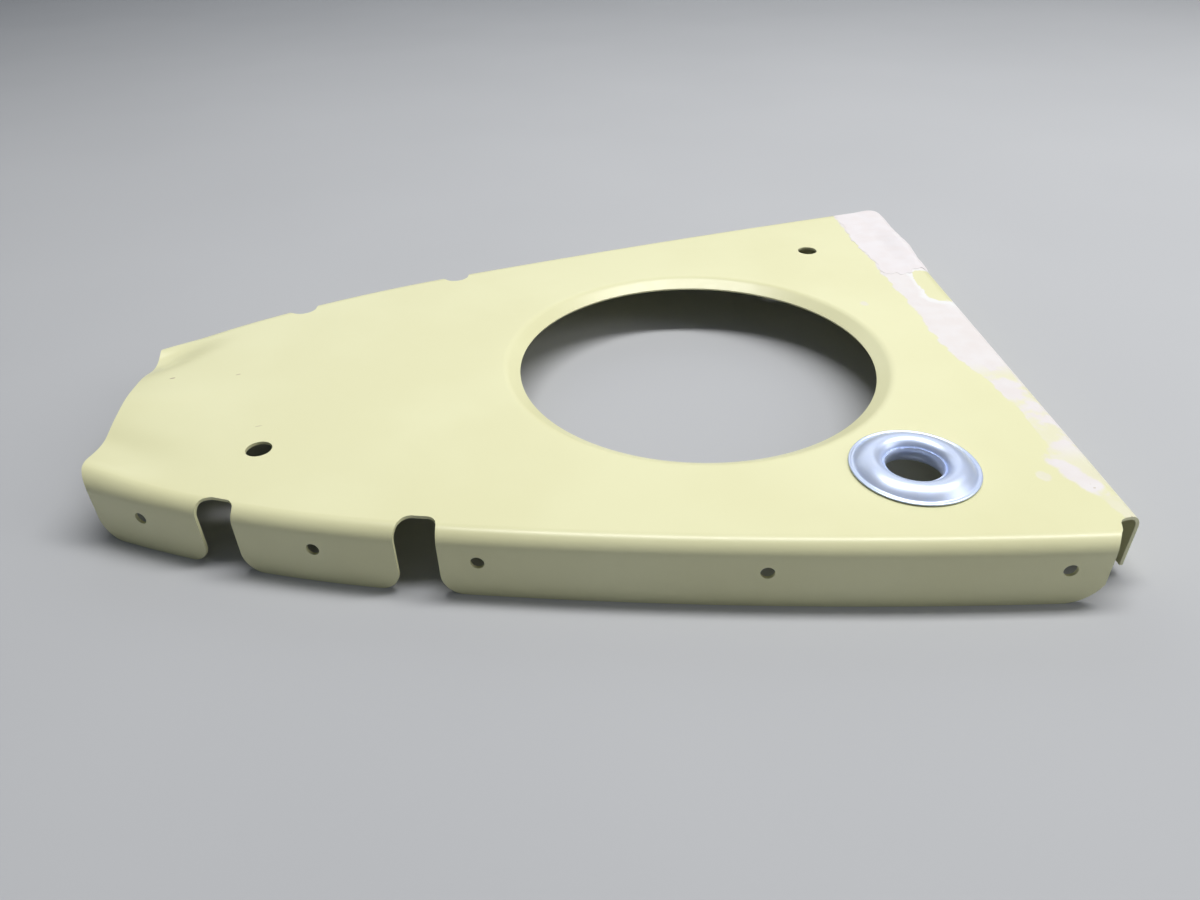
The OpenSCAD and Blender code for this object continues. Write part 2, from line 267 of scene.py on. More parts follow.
def skin_pieces(edge):
    """Pieces of one skin edge from spar to nose, each with its columns' distances along the edge."""
    rear = (edge["rear_slot"], edge["slot_depths"][0])
    front = (edge["front_slot"], edge["slot_depths"][1])
    long_tab = skin_tab(edge, relief_side(edge), slot_side(edge, *rear, -1.0),
                        edge["rear_corner_r"], TAB_CORNER_R, REAR_CORNER_PAST)
    middle_tab = skin_tab(edge, slot_side(edge, *rear, 1.0), slot_side(edge, *front, -1.0),
                          TAB_CORNER_R, TAB_CORNER_R, 0.0)
    nose_tab = skin_tab(edge, slot_side(edge, *front, 1.0), nose_side(edge),
                        TAB_CORNER_R, NOSE_CORNER_R, 0.0)
    return [relief_outline(edge, long_tab[0]), long_tab, slot_outline(edge, *rear), middle_tab,
            slot_outline(edge, *front), nose_tab]


def web_end(edge, piece, s):
    """Where the web's lines aim at an edge, and their direction there.

    They aim at the bend line and stop short of it at the slots. The direction is nil at the corners.
    """
    corner = piece[0, :, :2] if piece.ndim == 3 else piece
    aim = np.where(s[:, None] > 0.0, edge_point(edge, s, BEND_R), corner)
    square = smooth_step((s - SQUARE_FROM) / SQUARE_OVER) * smooth_step((edge["nose"] - s) / SQUARE_OVER)
    way = inward(edge_turn(edge, s)) * np.array([1.0, edge["side"]])
    return np.concatenate([aim, square[:, None] * way], axis=1)


def spar_grid():
    """Spar flange: the quarter turn and the wall carried straight between the two reliefs.

    Its lower end leans away from the relief down the bend.
    """
    low = LOWER_EDGE["corner_y"] + LOWER_EDGE["relief"][1]
    high = UPPER_EDGE["corner_y"] - UPPER_EDGE["relief"][1]
    y = np.linspace(low, high, SPAR_COLUMNS)
    x = np.broadcast_to(SPAR_X - BEND_INSET[:, None], (BEND_ROWS, y.size))
    near_low = 1.0 - smooth_step((y - low) / SPAR_LEAN_OVER)
    lean = np.outer(SPAR_END_LEAN * np.sin(BEND_TURN), near_low)
    return flange_grid(np.stack([x, y + lean], axis=2), np.full(y.size, SPAR_FREE_Z))


def from_nose_arc(edge, plan):
    """Distance into the rib from an edge's nose arc: the arc's radius less the distance to its centre."""
    centre = in_plan(edge, arc_centres(edge)[1])
    return edge["nose_r"] - np.linalg.norm(plan - centre, axis=-1)


def nose_wave(points):
    """Height that the sprung nose adds to the sheet: ridges and valleys that fade away from the nose cut.

    Each is a bell curve across its line. Four follow a flange at a set distance from it, and the ridge
    between them lies across the middle of the cut. All fade to nothing down the flanges' walls.
    """
    plan = points[..., :2]
    cut = NOSE_UP - NOSE_LOW
    along = cut / np.linalg.norm(cut)
    back = (plan - NOSE_LOW) @ np.array([along[1], -along[0]])
    across = {
        "lower": from_nose_arc(LOWER_EDGE, plan),
        "upper": from_nose_arc(UPPER_EDGE, plan),
        "cut": (plan - NOSE_LOW) @ along,
    }
    wave = sum(height * np.exp(-((across[line] - at) / half_width) ** 2 - (back / reach) ** 2)
               for height, line, at, half_width, reach in NOSE_BELLS)
    return wave * smooth_step((points[..., 2] - WAVE_FOOT_Z) / WAVE_RISE)


def lip_section():
    """Lip of the lightening hole as radius and drop: a straight cone, then an arc that ends flat."""
    cone = np.linspace(LIP_SLANT, 0.0, LIP_CONE_ROWS + 1)[:-1]
    turn = np.linspace(LIP_TURN, 0.0, LIP_ARC_ROWS)
    arc_reach = LIP_R * np.sin(turn)
    arc_drop = LIP_R * (1.0 - np.cos(turn))
    reach = np.concatenate([arc_reach[0] + cone * math.cos(LIP_TURN), arc_reach])
    drop = np.concatenate([arc_drop[0] + cone * math.sin(LIP_TURN), arc_drop])
    return LIGHT_R + reach[0] - reach, drop


def sheet_grid():
    """Whole outer face of the sheet as one closed grid of points, with the faces that exist.

    Columns run once round the rib and rows run out from the lip of the lightening hole: up the lip, across
    the web to the outline, which they meet squarely, and over the flange where the column has one.
    """
    lower = [(p[:, ::-1] if p.ndim == 3 else p[::-1], s[::-1]) for p, s in skin_pieces(LOWER_EDGE)[::-1]]
    upper = skin_pieces(UPPER_EDGE)
    corner = upper[-1][0][0, -1, :2]
    other = lower[0][0][0, 0, :2]
    nose = corner + np.linspace(0.0, 1.0, NOSE_COLUMNS + 2)[1:-1, None] * (other - corner)
    spar = spar_grid()
    pieces = [p for p, _ in lower] + [spar] + [p for p, _ in upper] + [nose]
    ends = [web_end(LOWER_EDGE, p, s) for p, s in lower]
    ends.append(np.pad(spar[0, :, :2], ((0, 0), (0, 2))))
    ends += [web_end(UPPER_EDGE, p, s) for p, s in upper]
    ends.append(np.pad(nose, ((0, 0), (0, 2))))
    aim, square = np.split(np.concatenate(ends), 2, axis=1)
    outline = np.concatenate([piece[0, :, :2] if piece.ndim == 3 else piece for piece in pieces])
    owner = np.concatenate([np.full(p.shape[1] if p.ndim == 3 else len(p), k if p.ndim == 3 else -1)
                            for k, p in enumerate(pieces)])
    flange_rows = BEND_ROWS + WALL_ROWS - 1
    flange = np.concatenate([p[1:] if p.ndim == 3 else np.zeros((flange_rows, len(p), 3))
                             for p in pieces], axis=1)
    away = aim - LIGHT_AT
    spoke = away / np.linalg.norm(away, axis=1)[:, None]
    radius, drop = lip_section()
    lip_plan = LIGHT_AT + radius[:, None, None] * spoke
    lip_z = np.broadcast_to(WEB_Z - drop[:, None, None], lip_plan.shape[:2] + (1,))
    lip = np.concatenate([lip_plan, lip_z], axis=2)
    share = 1.0 - (1.0 - np.linspace(0.0, 1.0, WEB_ROWS + 1)[1:, None, None]) ** WEB_CROWDING
    span = aim - lip[-1, :, :2]
    length = np.linalg.norm(square, axis=1)[:, None]
    sideways = length * span - (span * square).sum(axis=1)[:, None] * square / np.maximum(length, 1e-9)
    bow = share ** 2 * (1.0 - share) * sideways
    web_plan = lip[-1, :, :2] + share * span + bow + share ** OUTLINE_POWER * (outline - aim)
    web = np.concatenate([web_plan, np.full(web_plan.shape[:2] + (1,), WEB_Z)], axis=2)
    grid = np.concatenate([lip, web, flange])
    grid[..., 2] += nose_wave(grid)
    index = np.arange(grid.shape[0] * grid.shape[1]).reshape(grid.shape[:2])
    after = np.roll(index, -1, axis=1)
    quads = np.stack([index[:-1], index[1:], after[1:], after[:-1]], axis=2)
    kept = np.ones(quads.shape[:2], bool)
    kept[radius.size + WEB_ROWS - 1:] = (owner >= 0) & (owner == np.roll(owner, -1))
    used, faces = np.unique(quads[kept], return_inverse=True)
    return grid.reshape(-1, 3)[used], faces.reshape(-1, 4)


def quad_mesh(name, points, quads):
    """Mesh object at the origin from points in millimetres and rows of four corners."""
    mesh = bpy.data.meshes.new(name)
    mesh.vertices.add(len(points))
    mesh.vertices.foreach_set("co", np.ascontiguousarray(points * MM, dtype=np.float32).ravel())
    mesh.loops.add(quads.size)
    mesh.loops.foreach_set("vertex_index", np.ascontiguousarray(quads, dtype=np.int32).ravel())
    mesh.polygons.add(len(quads))
    mesh.polygons.foreach_set("loop_start", np.arange(0, quads.size, 4, dtype=np.int32))
    mesh.polygons.foreach_set("use_smooth", np.ones(len(quads), bool))
    mesh.update(calc_edges=True)
    mesh.validate()
    piece = bpy.data.objects.new(name, mesh)
    bpy.context.scene.collection.objects.link(piece)
    return piece


def drill(centre, axis, radius, length):
    """Closed tube of a drill's cut: rings at four places on the axis, of which the end two are tiny."""
    axis = np.array(axis) / np.linalg.norm(axis)
    side = np.cross(axis, (0.0, 0.0, 1.0)) if abs(axis[2]) < 0.9 else np.array([1.0, 0.0, 0.0])
    side = side / np.linalg.norm(side)
    turn = np.linspace(0.0, 2.0 * np.pi, DRILL_SIDES, endpoint=False)
    ring = np.cos(turn)[:, None] * side + np.sin(turn)[:, None] * np.cross(axis, side)
    size = np.array([0.02, 1.0, 1.0, 0.02])[:, None, None] * radius
    rise = np.array([-0.5, -0.5, 0.5, 0.5])[:, None, None] * length * axis
    points = np.array(centre) + size * ring + rise
    index = np.arange(points.shape[0] * DRILL_SIDES).reshape(-1, DRILL_SIDES)
    after = np.roll(index, -1, axis=1)
    quads = np.stack([index[:-1], after[:-1], after[1:], index[1:]], axis=2).reshape(-1, 4)
    return points.reshape(-1, 3), quads, [list(index[0][::-1]), list(index[-1])]


def settle(piece):
    """Applies a piece's modifiers by taking their result as its mesh."""
    graph = bpy.context.evaluated_depsgraph_get()
    result = bpy.data.meshes.new_from_object(piece.evaluated_get(graph))
    piece.modifiers.clear()
    piece.data = result


def drilled(piece, cuts):
    """Cuts the drills out of a piece after its thickness, and keeps the result as its mesh."""
    points, faces, first = [], [], 0
    for cut in cuts:
        points.append(cut[0])
        faces += (cut[1] + first).tolist() + [[k + first for k in cap] for cap in cut[2]]
        first += len(cut[0])
    mesh = bpy.data.meshes.new("drills")
    mesh.from_pydata((np.concatenate(points) * MM).tolist(), [], faces)
    drills = bpy.data.objects.new("drills", mesh)
    bpy.context.scene.collection.objects.link(drills)
    holes = piece.modifiers.new("holes", "BOOLEAN")
    holes.object = drills
    holes.solver = "EXACT"
    settle(piece)
    bpy.data.objects.remove(drills)


def soft_edges(piece, degrees):
    """Smooth faces, with edges over an angle kept sharp."""
    piece.data.polygons.foreach_set("use_smooth", np.ones(len(piece.data.polygons), bool))
    piece.data.set_sharp_from_angle(angle=math.radians(degrees))


rib = quad_mesh("rib_sheet_primed", *sheet_grid())
thickness = rib.modifiers.new("sheet", "SOLIDIFY")
thickness.thickness = SHEET_T * MM
thickness.offset = -1.0
cuts = [drill((*at, WEB_Z), (0.0, 0.0, 1.0), TOOL_R, WEB_DRILL) for at in TOOL_HOLES]
cuts.append(drill((*GROMMET_AT, WEB_Z), (0.0, 0.0, 1.0), GROMMET_HOLE_R, WEB_DRILL))
for edge in (LOWER_EDGE, UPPER_EDGE):
    stations = np.array(edge["rivets"])
    places = edge_point(edge, stations, 0.0)
    facing = inward(edge_turn(edge, stations)) * np.array([1.0, edge["side"]])
    cuts += [drill((*at, RIVET_Z), (*face, 0.0), RIVET_R, FLANGE_DRILL) for at, face in zip(places, facing)]
drilled(rib, cuts)
soft_edges(rib, SHARP_DEGREES)


def node_group(name, inputs, outputs):
    """Shader node group with named sockets, and its input and output nodes."""
    group = bpy.data.node_groups.new(name, "ShaderNodeTree")
    for label, kind, value in inputs:
        socket = group.interface.new_socket(label, in_out="INPUT", socket_type=kind)
        socket.default_value = value
    for label, kind in outputs:
        group.interface.new_socket(label, in_out="OUTPUT", socket_type=kind)
    return group, group.nodes.new("NodeGroupInput"), group.nodes.new("NodeGroupOutput")


def put(tree, value, socket):
    """Feeds a socket from another socket, or sets it to a value."""
    if isinstance(value, bpy.types.NodeSocket):
        tree.links.new(value, socket)
    else:
        socket.default_value = value


def calc(tree, operation, *values):
    """Math node on sockets or numbers."""
    node = tree.nodes.new("ShaderNodeMath")
    node.operation = operation
    for value, socket in zip(values, node.inputs):
        put(tree, value, socket)
    return node.outputs[0]


def ramp(tree, value, low, high, to_low, to_high):
    """Smooth change of a value from one range to another."""
    node = tree.nodes.new("ShaderNodeMapRange")
    node.interpolation_type = "SMOOTHSTEP"
    for number, socket in zip((value, low, high, to_low, to_high), node.inputs):
        put(tree, number, socket)
    return node.outputs[0]


def noise(tree, place, scale, detail):
    """Noise about a half at a place, in features of one over the scale in metres."""
    node = tree.nodes.new("ShaderNodeTexNoise")
    node.inputs["Scale"].default_value = scale
    node.inputs["Detail"].default_value = detail
    tree.links.new(place, node.inputs["Vector"])
    return node.outputs["Fac"]


def two_parts(tree, first, share_of_first, second, share_of_second):
    """Sum of two values, each times its share."""
    return calc(tree, "ADD", calc(tree, "MULTIPLY", first, share_of_first),
                calc(tree, "MULTIPLY", second, share_of_second))


def squares(tree, first, second):
    """Sum of the squares of two values."""
    return calc(tree, "MULTIPLY_ADD", first, first, calc(tree, "MULTIPLY", second, second))


def blend_colour(tree, share, first, second):
    """Mix of two colours by a share."""
    node = tree.nodes.new("ShaderNodeMix")
    node.data_type = "RGBA"
    put(tree, share, node.inputs[0])
    put(tree, first, node.inputs[6])
    put(tree, second, node.inputs[7])
    return node.outputs[2]


def blend_number(tree, share, first, second):
    """Mix of two numbers by a share."""
    node = tree.nodes.new("ShaderNodeMix")
    put(tree, share, node.inputs[0])
    put(tree, first, node.inputs[2])
    put(tree, second, node.inputs[3])
    return node.outputs[0]


def blank_material(name):
    """New node material with its tree, its shader and its Object coordinates."""
    material = bpy.data.materials.new(name)
    material.use_nodes = True
    tree = material.node_tree
    coords = tree.nodes.new("ShaderNodeTexCoord").outputs["Object"]
    return material, tree, tree.nodes["Principled BSDF"], coords


def finish_node(tree, group, coords):
    """Node for a shared finish at the material's coordinates."""
    node = tree.nodes.new("ShaderNodeGroup")
    node.node_tree = group
    tree.links.new(coords, node.inputs["Place"])
    return node


def emboss(tree, shader, height, strength, depth):
    """Turns a height into the shader's normal by a bump of some strength and of a depth in metres."""
    bump = tree.nodes.new("ShaderNodeBump")
    bump.inputs["Strength"].default_value = strength
    bump.inputs["Distance"].default_value = depth
    tree.links.new(height, bump.inputs["Height"])
    tree.links.new(bump.outputs["Normal"], shader.inputs["Normal"])


# Sprayed film of primer: slow drifts of colour and a fine grain from the gun
FINISH_SOCKETS = (
    ("Color", "NodeSocketColor"),
    ("Roughness", "NodeSocketFloat"),
    ("Height", "NodeSocketFloat"),
)
PLACE_SOCKET = ("Place", "NodeSocketVector", (0.0, 0.0, 0.0))
GREY = (0.5, 0.5, 0.5, 1.0)
spray, spray_in, spray_out = node_group(
    "sprayed_coat",
    [PLACE_SOCKET, ("Thin", "NodeSocketColor", GREY), ("Full", "NodeSocketColor", GREY)],
    FINISH_SOCKETS)
place = spray_in.outputs["Place"]
drift = noise(spray, place, 26.0, 3.0)
grain = noise(spray, place, 2200.0, 2.0)
peel = noise(spray, place, 520.0, 2.0)
coverage = calc(spray, "ADD", ramp(spray, drift, 0.34, 0.66, 0.0, 0.8), calc(spray, "MULTIPLY", grain, 0.2))
coat_colour = blend_colour(spray, coverage, spray_in.outputs["Thin"], spray_in.outputs["Full"])
spray.links.new(coat_colour, spray_out.inputs["Color"])
spray.links.new(ramp(spray, peel, 0.3, 0.7, 0.30, 0.35), spray_out.inputs["Roughness"])
spray.links.new(two_parts(spray, peel, 0.7, grain, 0.3), spray_out.inputs["Height"])

# Dried glue left by a strip of film: chalky, slightly pink and rough
GLUE_PINK = (0.755, 0.705, 0.71, 1.0)
GLUE_PALE = (0.785, 0.755, 0.775, 1.0)
glue, glue_in, glue_out = node_group("dried_glue", [PLACE_SOCKET], FINISH_SOCKETS)
smear = noise(glue, glue_in.outputs["Place"], 210.0, 4.0)
dust = noise(glue, glue_in.outputs["Place"], 1500.0, 2.0)
chalk = calc(glue, "ADD", ramp(glue, smear, 0.3, 0.7, 0.0, 0.75), calc(glue, "MULTIPLY", dust, 0.25))
glue.links.new(blend_colour(glue, chalk, GLUE_PINK, GLUE_PALE), glue_out.inputs["Color"])
glue.links.new(ramp(glue, dust, 0.3, 0.7, 0.50, 0.64), glue_out.inputs["Roughness"])
glue.links.new(two_parts(glue, smear, 0.7, dust, 0.3), glue_out.inputs["Height"])

# Primer of the rib, with the band of glue along the spar, the patch peeled bare in it and a few marks
PRIMER_THIN = (0.75, 0.735, 0.445, 1.0)
PRIMER_FULL = (0.785, 0.775, 0.485, 1.0)
FRINGE_WHITE = (0.82, 0.815, 0.835, 1.0)
SPECK_BROWN = (0.42, 0.34, 0.20, 1.0)
BAND_X = 84.1
BAND_SLOPE = -0.047
# Steps in the band's inner line: the two places along the spar that each runs between, and its size
BAND_STEPS = ((-16.0, -30.0, 3.4), (-50.0, -58.0, -2.2), (-60.0, -72.0, 4.2))
BARE_X = 92.6
BARE_Y = 22.0
BARE_HALF_WIDTH = 3.3333
BARE_HALF_LENGTH = 8.9286
# Smudges of glue and dark ticks: centre, slant, half width, half length and strength
GLUE_SMUDGES = (
    ((90.3, -60.4), 0.33, 2.3, 6.6, 0.95),
    ((84.4, -60.55), 0.0, 1.2, 1.4, 0.45),
    ((72.8, 12.1), 0.0, 1.1, 1.5, 0.5),
)
DARK_TICKS = (
    ((-88.0, -12.3), -1.0, 0.45, 0.3, 1.0),
    ((-73.7, -11.6), -1.2, 0.45, 0.3, 0.6),
    ((-63.0, -33.4), -2.0, 0.45, 0.3, 0.5),
)
COAT_RELIEF = 0.025
GLUE_STEP = 0.6
GLUE_RELIEF = 0.5
BUMP_STRENGTH = 0.25
BUMP_DEPTH = 0.00012
primer, tree, shader, coords = blank_material("primed_sheet_finish")
coat = finish_node(tree, spray, coords)
coat.inputs["Thin"].default_value = PRIMER_THIN
coat.inputs["Full"].default_value = PRIMER_FULL
strip = finish_node(tree, glue, coords)
axes = tree.nodes.new("ShaderNodeSeparateXYZ")
tree.links.new(coords, axes.inputs[0])
x_mm = calc(tree, "DIVIDE", axes.outputs["X"], MM)
y_mm = calc(tree, "DIVIDE", axes.outputs["Y"], MM)
lobes = calc(tree, "SUBTRACT", noise(tree, coords, 120.0, 2.0), 0.5)
fray = calc(tree, "SUBTRACT", noise(tree, coords, 620.0, 3.0), 0.5)
ragged = two_parts(tree, lobes, 3.4, fray, 1.5)
inner_x = calc(tree, "MULTIPLY_ADD", y_mm, BAND_SLOPE, BAND_X)
for from_y, to_y, step in BAND_STEPS:
    inner_x = calc(tree, "ADD", inner_x, ramp(tree, y_mm, from_y, to_y, 0.0, step))
into_band = calc(tree, "ADD", calc(tree, "SUBTRACT", x_mm, inner_x), ragged)
band = ramp(tree, into_band, -0.25, 0.35, 0.0, 1.0)
bare_across = calc(tree, "MINIMUM", calc(tree, "SUBTRACT", x_mm, BARE_X), 0.0)
bare_across = calc(tree, "DIVIDE", bare_across, BARE_HALF_WIDTH)
bare_along = calc(tree, "DIVIDE", calc(tree, "SUBTRACT", y_mm, BARE_Y), BARE_HALF_LENGTH)
bare_oval = calc(tree, "SQRT", squares(tree, bare_across, bare_along))
peeled = calc(tree, "MULTIPLY_ADD", ragged, 0.30, bare_oval)
unpeeled = ramp(tree, peeled, 0.95, 1.03, 0.0, 1.0)
near_bare = ramp(tree, calc(tree, "MULTIPLY_ADD", lobes, 0.9, peeled), 1.05, 1.5, 1.0, 0.0)
fringe = calc(tree, "MULTIPLY", unpeeled, near_bare)
patches = ramp(tree, noise(tree, coords, 170.0, 5.0), 0.42, 0.55, 0.3, 0.95)
scuffed = calc(tree, "MAXIMUM", patches, ramp(tree, y_mm, -18.0, -30.0, 0.95, 0.0))
thinned = calc(tree, "MULTIPLY", scuffed, ramp(tree, y_mm, -50.0, -58.0, 1.0, 0.35))
torn = calc(tree, "SUBTRACT", noise(tree, coords, 330.0, 6.0), 0.5)


def smudge(centre, slant, half_width, half_length, strength):
    """Soft-edged ragged oval on the web: its slanted offsets over its half sizes, squared and added."""
    along = calc(tree, "SUBTRACT", y_mm, centre[1])
    across = calc(tree, "MULTIPLY_ADD", along, slant, calc(tree, "SUBTRACT", x_mm, centre[0]))
    across = calc(tree, "DIVIDE", across, half_width)
    along = calc(tree, "DIVIDE", along, half_length)
    oval = calc(tree, "MULTIPLY_ADD", torn, 2.6, squares(tree, across, along))
    return ramp(tree, oval, 0.45, 1.35, strength, 0.0)


upward = tree.nodes.new("ShaderNodeSeparateXYZ")
tree.links.new(tree.nodes.new("ShaderNodeNewGeometry").outputs["Normal"], upward.inputs[0])
on_top = ramp(tree, upward.outputs["Z"], 0.1, 0.4, 0.0, 1.0)
residue = calc(tree, "MULTIPLY", calc(tree, "MULTIPLY", band, unpeeled), thinned)
for mark in GLUE_SMUDGES:
    residue = calc(tree, "MAXIMUM", residue, smudge(*mark))
residue = calc(tree, "MULTIPLY", residue, on_top)
chalky_white = blend_colour(tree, fringe, strip.outputs["Color"], FRINGE_WHITE)
coloured = blend_colour(tree, residue, coat.outputs["Color"], chalky_white)
near_end = calc(tree, "MULTIPLY", ramp(tree, y_mm, -62.0, -66.0, 0.0, 1.0), band)
speck = calc(tree, "MULTIPLY", ramp(tree, noise(tree, coords, 900.0, 1.0), 0.72, 0.76, 0.0, 0.8), near_end)
for mark in DARK_TICKS:
    speck = calc(tree, "MAXIMUM", speck, smudge(*mark))
speck = calc(tree, "MULTIPLY", speck, on_top)
tree.links.new(blend_colour(tree, speck, coloured, SPECK_BROWN), shader.inputs["Base Color"])
rough = blend_number(tree, residue, coat.outputs["Roughness"], strip.outputs["Roughness"])
tree.links.new(rough, shader.inputs["Roughness"])
glue_height = calc(tree, "MULTIPLY_ADD", strip.outputs["Height"], GLUE_RELIEF, GLUE_STEP)
height = two_parts(tree, coat.outputs["Height"], COAT_RELIEF, residue, glue_height)
emboss(tree, shader, height, BUMP_STRENGTH, BUMP_DEPTH)
rib.data.materials.clear()
rib.data.materials.append(primer)
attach(rib, "root")
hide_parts("rib_sheet")

# Torn strip of film
# What is left of a thin self-adhesive strip that covered the spar edge of the web.
# It still bridges the far corner relief, and it stands a little proud of the bend there.

FILM_T = 0.16
FILM_LIFT = 0.06
FILM_BRIDGE = 0.34
FILM_CORNER_R = 5.5
FILM_REACH = 2.5
FILM_FAR_REACH = 1.7
FILM_INNER_X = 84.2
FILM_FAR_X = 84.0
FILM_FAR_WIDTH = 12.0
FILM_TORN_Y = 31.5
TORN_SWEEP = 4.0
# Waves of the torn end and of the inner edge: height, count and phase
TORN_WAVES = ((1.2, 9.0, 0.6), (0.5, 31.0, 0.0))
INNER_WAVES = ((0.30, 0.9, 0.0), (0.22, 2.3, 1.0), (0.5, 0.21, 0.0))
FILM_ROWS = 110
FILM_COLUMNS = 44
BULGE_Y = 50.0
BULGE_HALF = 7.0
BULGE_EXTRA = 1.7
FILM_SHARP_DEGREES = 40.0
UPPER_SWEEP_CENTRE = in_plan(UPPER_EDGE, arc_centres(UPPER_EDGE)[0])


def waves(rows, at):
    """Sum of sine waves at a place, each with its height, its count and its phase."""
    return sum(height * np.sin(count * at + phase) for height, count, phase in rows)


def film_grid():
    """Film over the corner as a height over the plan: flat on the web, then down an arc past both bends.

    Across, it runs from a wavering inner edge to the spar bend, and along, from the torn end to the upper
    bend. The distance out from a rounded corner sets the drop, and the film lifts off towards the spar.
    """
    u, v = np.meshgrid(np.linspace(0.0, 1.0, FILM_ROWS), np.linspace(0.0, 1.0, FILM_COLUMNS), indexing="ij")
    torn_y = FILM_TORN_Y - TORN_SWEEP * (1.0 - v) ** 2 + waves(TORN_WAVES, v)
    far_r = UPPER_EDGE["sweep_r"] - BEND_R + FILM_FAR_REACH
    far_x = FILM_FAR_X + FILM_FAR_WIDTH * v
    far_y = UPPER_SWEEP_CENTRE[1] + np.sqrt(far_r ** 2 - (far_x - UPPER_SWEEP_CENTRE[0]) ** 2)
    y = torn_y + u * (far_y - torn_y)
    inner = FILM_INNER_X + BAND_SLOPE * y + waves(INNER_WAVES, y)
    x = inner + v * (SPAR_X - BEND_R + FILM_REACH - inner)
    from_upper = UPPER_EDGE["sweep_r"] - np.hypot(x - UPPER_SWEEP_CENTRE[0], y - UPPER_SWEEP_CENTRE[1])
    past_x = np.maximum(x - (SPAR_X - FILM_CORNER_R), 0.0)
    past_y = np.maximum(FILM_CORNER_R - from_upper, 0.0)
    core = FILM_CORNER_R - BEND_R
    out = np.maximum(np.hypot(past_x, past_y), 1e-6)
    past = np.clip(out - core, 0.0, FILM_REACH)
    pull = np.minimum((core + FILM_REACH) / out, 1.0)
    x = x - past_x * (1.0 - pull)
    y = y - past_y * (1.0 - pull)
    bulge = smooth_step((v - 0.45) / 0.4) * (1.0 + BULGE_EXTRA * np.exp(-((y - BULGE_Y) / BULGE_HALF) ** 2))
    lift = FILM_LIFT + FILM_BRIDGE * bulge * (0.25 + 0.75 * smooth_step(u / 0.08))
    flutter = 0.05 * np.sin(0.55 * y + 0.4 * x) + 0.04 * np.sin(1.3 * y - 0.7 * x)
    z = WEB_Z - BEND_R + np.sqrt((BEND_R + lift) ** 2 - past ** 2) + flutter * smooth_step(v * 2.0 - 0.8)
    points = np.stack([x, y, z], axis=2)
    index = np.arange(FILM_ROWS * FILM_COLUMNS).reshape(FILM_ROWS, FILM_COLUMNS)
    quads = np.stack([index[:-1, :-1], index[:-1, 1:], index[1:, 1:], index[1:, :-1]], axis=2)
    return points.reshape(-1, 3), quads.reshape(-1, 4)


film = quad_mesh("residue_strip", *film_grid())
film_wall = film.modifiers.new("film", "SOLIDIFY")
film_wall.thickness = FILM_T * MM
film_wall.offset = -1.0
settle(film)
soft_edges(film, FILM_SHARP_DEGREES)
chalky, tree, shader, coords = blank_material("dried_glue_finish")
strip = finish_node(tree, glue, coords)
tree.links.new(strip.outputs["Color"], shader.inputs["Base Color"])
tree.links.new(strip.outputs["Roughness"], shader.inputs["Roughness"])
emboss(tree, shader, strip.outputs["Height"], BUMP_STRENGTH, BUMP_DEPTH)
film.data.materials.append(chalky)
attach(film, "root")

# Grommet washer
# A ring stamped from bright aluminium sheet: an arched crown inside a thin rim with a beaded edge.
# It lies on the web and is held down by the flared end of the eyelet.

WASHER_R = 11.75
EDGE_ROUND = 0.25
CROWN_MID_R = 7.7
CROWN_OUT_R = 11.2
CROWN_IN_R = 5.55
CROWN_H = 1.994
CROWN_BLEND = 0.16
GROMMET_T = 0.45
RIM_Z = 0.36
RIM_FADE = 1.6
BEAD_R = 11.15
BEAD_RISE = 0.3
BEAD_H = 0.14
CURL_R = 11.0
CURL_RISE = 0.65
RIM_CURL = 0.16
FOOT_Z = 0.02
BORE_EDGE_Z = 0.06
WASHER_SIDES = 160
UNDER_ROWS = 44
EDGE_ROWS = 11
TOP_ROWS = 76
METAL_SHARP_DEGREES = 50.0


def soft_max(a, b, width):
    """Larger of two heights with a rounded change-over: half their sum plus half a rooted difference."""
    return 0.5 * (a + b + np.sqrt((a - b) ** 2 + width ** 2))


def crown_height(radius, wall):
    """Crown's height at a radius: a quarter ellipse from the bore to the crest, then a parabola to the rim.

    The underside is the same curve with the wall taken off its height and off both of its half widths.
    """
    inside = np.clip((CROWN_MID_R - radius) / (CROWN_MID_R - CROWN_IN_R - wall), 0.0, 1.0)
    outside = np.clip((radius - CROWN_MID_R) / (CROWN_OUT_R - CROWN_MID_R - wall), 0.0, 1.0)
    return (CROWN_H - wall) * np.where(radius < CROWN_MID_R, np.sqrt(1.0 - inside ** 2), 1.0 - outside ** 2)


def washer_profile():
    """Closed section of the washer: under the crown and rim, round the edge, and back over both."""
    rim_r = WASHER_R - EDGE_ROUND
    under_r = np.linspace(CROWN_IN_R, rim_r, UNDER_ROWS)
    curl = RIM_CURL * smooth_step((under_r - CURL_R) / CURL_RISE)
    under = np.maximum(crown_height(under_r, GROMMET_T), FOOT_Z) + curl
    turn = np.linspace(-np.pi / 2, np.pi / 2, EDGE_ROWS)[1:-1]
    half = (RIM_Z + BEAD_H - RIM_CURL) / 2.0
    edge_r = rim_r + EDGE_ROUND * np.cos(turn)
    edge_z = RIM_CURL + half + half * np.sin(turn)
    top_r = np.linspace(rim_r, CROWN_IN_R, TOP_ROWS)
    crown = crown_height(top_r, 0.0)
    rim = RIM_Z * smooth_step((top_r - CROWN_MID_R) / RIM_FADE)
    rim += BEAD_H * smooth_step((top_r - BEAD_R) / BEAD_RISE)
    outer_top = soft_max(crown, rim, CROWN_BLEND)
    top = np.where(top_r > CROWN_MID_R, outer_top, np.maximum(crown, BORE_EDGE_Z))
    radius = np.concatenate([under_r, edge_r, top_r])
    return np.stack([radius, np.concatenate([under, edge_z, top])], axis=1)


